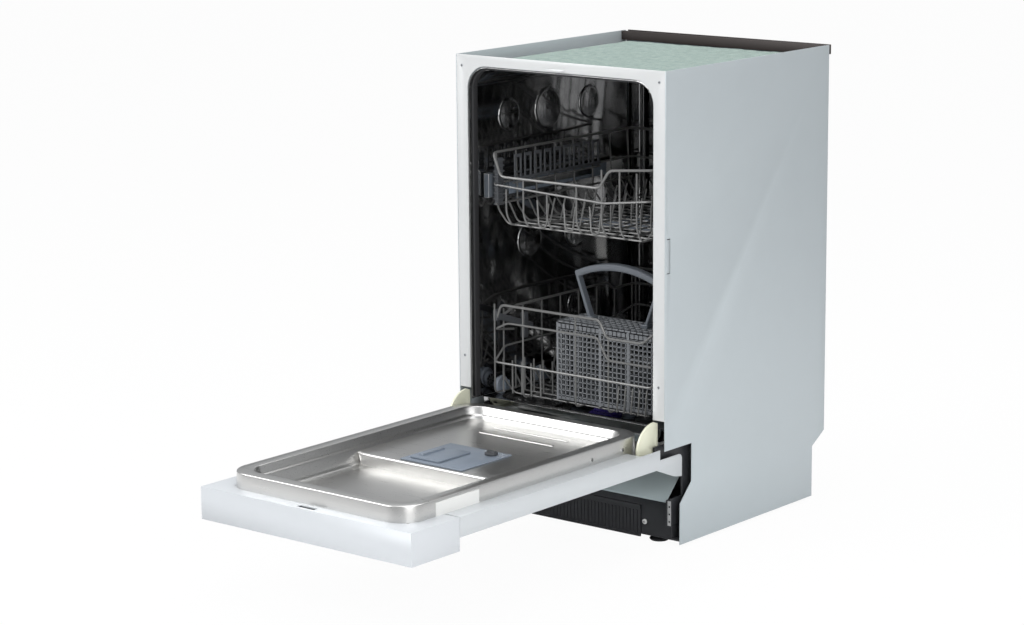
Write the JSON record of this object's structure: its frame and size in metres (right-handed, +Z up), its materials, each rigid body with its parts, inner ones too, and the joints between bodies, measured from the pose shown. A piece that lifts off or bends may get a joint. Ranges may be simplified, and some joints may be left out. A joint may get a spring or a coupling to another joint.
{
  "type": "built in dishwasher",
  "caption": "Slimline built-in dishwasher with a drop-down steel door, wheeled lower basket with cutlery basket, railed upper basket, spray arms and open frame cabinet.",
  "frame": {"origin": "centre of the footprint of the open machine, on the floor, midway between the open door's outer end and the back rail", "axes": "+Z up, +X to the right for someone facing the open door, -Y out towards that person; the cabinet's front frame lies in the plane y = 0.0745 m"},
  "size_m": [0.448, 1.135, 0.815],
  "materials": {
    "panel": "pale grey coil-coated steel sheet",
    "frame": "pale enamelled steel frame",
    "stainless": "fine-ground stainless steel sheet",
    "zinc": "galvanised steel sheet",
    "hinge_leaf": "cream passivated steel",
    "black_plastic": "matt black moulded plastic",
    "felt": "grey-green needled insulation felt",
    "rubber": "matt dark sealing rubber",
    "dark_rail": "dark brown-black painted steel",
    "wire": "grey nylon-coated steel wire",
    "slate_plastic": "slate blue-grey moulded plastic",
    "lattice_plastic": "mid grey moulded plastic",
    "charcoal_plastic": "dark grey moulded plastic",
    "fascia": "satin silver-white lacquered steel",
    "salt_cap": "deep blue-violet moulded plastic",
    "white_plastic": "off-white moulded plastic",
    "pump_body": "cast and wound motor body"
  },
  "bodies": {
    "cabinet": {"side_panel_left": "panel", "side_panel_right": "panel", "front_frame": "frame", "rear_panel": "zinc", "rear_rail": "dark_rail", "insulation_mat": "felt", "tub_wrapper": "stainless", "tub_back": "stainless", "tub_floor": "stainless", "door_seal": "rubber", "base_tray": "black_plastic", "base_deck": "zinc", "kick_cover": "black_plastic", "foot_front_left": "black_plastic", "foot_front_right": "black_plastic", "foot_rear": "black_plastic", "hinge_mount_left": "zinc", "hinge_mount_right": "zinc", "sump": "white_plastic", "circulation_pump": "pump_body", "water_softener": "white_plastic", "inlet_valve": "white_plastic", "rail_guide_left": "charcoal_plastic", "rail_guide_right": "charcoal_plastic"},
    "door": {"door_liner": "stainless", "door_panel": "panel", "control_fascia": "fascia", "latch": "charcoal_plastic", "dispenser_body": "slate_plastic", "hinge_arm_left": "hinge_leaf", "hinge_arm_right": "hinge_leaf"},
    "dispenser_lid": {"dispenser_lid": "slate_plastic"},
    "rinse_cap": {"rinse_cap": "charcoal_plastic"},
    "power_button": {"power_button": "slate_plastic"},
    "start_button": {"start_button": "slate_plastic"},
    "upper_rails": {"rail_left": "stainless", "rail_right": "stainless"},
    "upper_basket": {"upper_basket_floor": "wire", "upper_basket_walls": "wire", "hanger_left": "slate_plastic", "hanger_right": "slate_plastic", "upper_feed_pipe": "slate_plastic"},
    "cup_shelf": {"cup_shelf": "charcoal_plastic"},
    "upper_spray_arm": {"upper_spray_arm": "slate_plastic"},
    "lower_basket": {"lower_basket_floor": "wire", "lower_basket_walls": "wire", "cutlery_basket": "lattice_plastic", "cutlery_lid": "lattice_plastic", "cutlery_handle": "slate_plastic"},
    "wheel_left_1": {"wheel_left_1": "slate_plastic"},
    "wheel_left_2": {"wheel_left_2": "slate_plastic"},
    "wheel_left_3": {"wheel_left_3": "slate_plastic"},
    "wheel_left_4": {"wheel_left_4": "slate_plastic"},
    "wheel_right_1": {"wheel_right_1": "slate_plastic"},
    "wheel_right_2": {"wheel_right_2": "slate_plastic"},
    "wheel_right_3": {"wheel_right_3": "slate_plastic"},
    "wheel_right_4": {"wheel_right_4": "slate_plastic"},
    "lower_spray_arm": {"lower_spray_arm": "slate_plastic"},
    "filter_cup": {"filter_cup": "charcoal_plastic"},
    "salt_cap": {"salt_cap": "salt_cap"}
  },
  "joints": [
    {"name": "door_hinge", "type": "hinge", "parent": "cabinet", "child": "door", "pos_m": [0, 0.0695, 0.177], "axis": [-1, 0, 0], "range_deg": [0, 90]},
    {"name": "lower_basket_slide", "type": "slide", "parent": "cabinet", "child": "lower_basket", "axis": [0, 1, 0], "range_m": [-0.452, 0]},
    {"name": "upper_rail_slide", "type": "slide", "parent": "cabinet", "child": "upper_rails", "axis": [0, 1, 0], "range_m": [-0.195, 0]},
    {"name": "upper_basket_slide", "type": "slide", "parent": "upper_rails", "child": "upper_basket", "axis": [0, 1, 0], "range_m": [-0.039, 0]},
    {"name": "cup_shelf_fold", "type": "hinge", "parent": "upper_basket", "child": "cup_shelf", "pos_m": [-0.16, 0.2745, 0.585], "axis": [0, 1, 0], "range_deg": [0, 90]},
    {"name": "upper_spray_spin", "type": "hinge", "parent": "upper_basket", "child": "upper_spray_arm", "pos_m": [0, 0.3245, 0.502], "axis": [0, 0, 1], "continuous": true},
    {"name": "lower_spray_spin", "type": "hinge", "parent": "cabinet", "child": "lower_spray_arm", "pos_m": [0, 0.3245, 0.195], "axis": [0, 0, 1], "continuous": true},
    {"name": "filter_turn", "type": "hinge", "parent": "cabinet", "child": "filter_cup", "pos_m": [0.07, 0.2795, 0.17], "axis": [0, 0, 1], "range_deg": [0, 90]},
    {"name": "salt_cap_turn", "type": "hinge", "parent": "cabinet", "child": "salt_cap", "pos_m": [-0.022, 0.2345, 0.175], "axis": [0, 0, 1], "range_deg": [0, 90]},
    {"name": "dispenser_lid_slide", "type": "slide", "parent": "door", "child": "dispenser_lid", "axis": [1, 0, 0], "range_m": [0, 0.052]},
    {"name": "rinse_cap_turn", "type": "hinge", "parent": "door", "child": "rinse_cap", "pos_m": [0.04, -0.1575, 0.192], "axis": [0, 0, 1], "range_deg": [0, 90]},
    {"name": "power_press", "type": "slide", "parent": "door", "child": "power_button", "axis": [0, 0, 1], "range_m": [0, 0.0015], "stiffness_N_per_m": 400, "springref_m": -0.001},
    {"name": "start_press", "type": "slide", "parent": "door", "child": "start_button", "axis": [0, 0, 1], "range_m": [0, 0.0015], "stiffness_N_per_m": 400, "springref_m": -0.001},
    {"name": "wheel_left_1_spin", "type": "hinge", "parent": "lower_basket", "child": "wheel_left_1", "pos_m": [-0.1845, 0.1395, 0.2242], "axis": [1, 0, 0], "continuous": true},
    {"name": "wheel_left_2_spin", "type": "hinge", "parent": "lower_basket", "child": "wheel_left_2", "pos_m": [-0.1845, 0.2495, 0.2242], "axis": [1, 0, 0], "continuous": true},
    {"name": "wheel_left_3_spin", "type": "hinge", "parent": "lower_basket", "child": "wheel_left_3", "pos_m": [-0.1845, 0.4055, 0.2242], "axis": [1, 0, 0], "continuous": true},
    {"name": "wheel_left_4_spin", "type": "hinge", "parent": "lower_basket", "child": "wheel_left_4", "pos_m": [-0.1845, 0.5025, 0.2242], "axis": [1, 0, 0], "continuous": true},
    {"name": "wheel_right_1_spin", "type": "hinge", "parent": "lower_basket", "child": "wheel_right_1", "pos_m": [0.1845, 0.1395, 0.2242], "axis": [1, 0, 0], "continuous": true},
    {"name": "wheel_right_2_spin", "type": "hinge", "parent": "lower_basket", "child": "wheel_right_2", "pos_m": [0.1845, 0.2495, 0.2242], "axis": [1, 0, 0], "continuous": true},
    {"name": "wheel_right_3_spin", "type": "hinge", "parent": "lower_basket", "child": "wheel_right_3", "pos_m": [0.1845, 0.4055, 0.2242], "axis": [1, 0, 0], "continuous": true},
    {"name": "wheel_right_4_spin", "type": "hinge", "parent": "lower_basket", "child": "wheel_right_4", "pos_m": [0.1845, 0.5025, 0.2242], "axis": [1, 0, 0], "continuous": true}
  ],
  "couplings": [
    {"joint": "wheel_left_1_spin", "follows": "lower_basket_slide", "rad_per_m": -60.606},
    {"joint": "wheel_left_2_spin", "follows": "lower_basket_slide", "rad_per_m": -60.606},
    {"joint": "wheel_left_3_spin", "follows": "lower_basket_slide", "rad_per_m": -60.606},
    {"joint": "wheel_left_4_spin", "follows": "lower_basket_slide", "rad_per_m": -60.606},
    {"joint": "wheel_right_1_spin", "follows": "lower_basket_slide", "rad_per_m": -60.606},
    {"joint": "wheel_right_2_spin", "follows": "lower_basket_slide", "rad_per_m": -60.606},
    {"joint": "wheel_right_3_spin", "follows": "lower_basket_slide", "rad_per_m": -60.606},
    {"joint": "wheel_right_4_spin", "follows": "lower_basket_slide", "rad_per_m": -60.606}
  ]
}
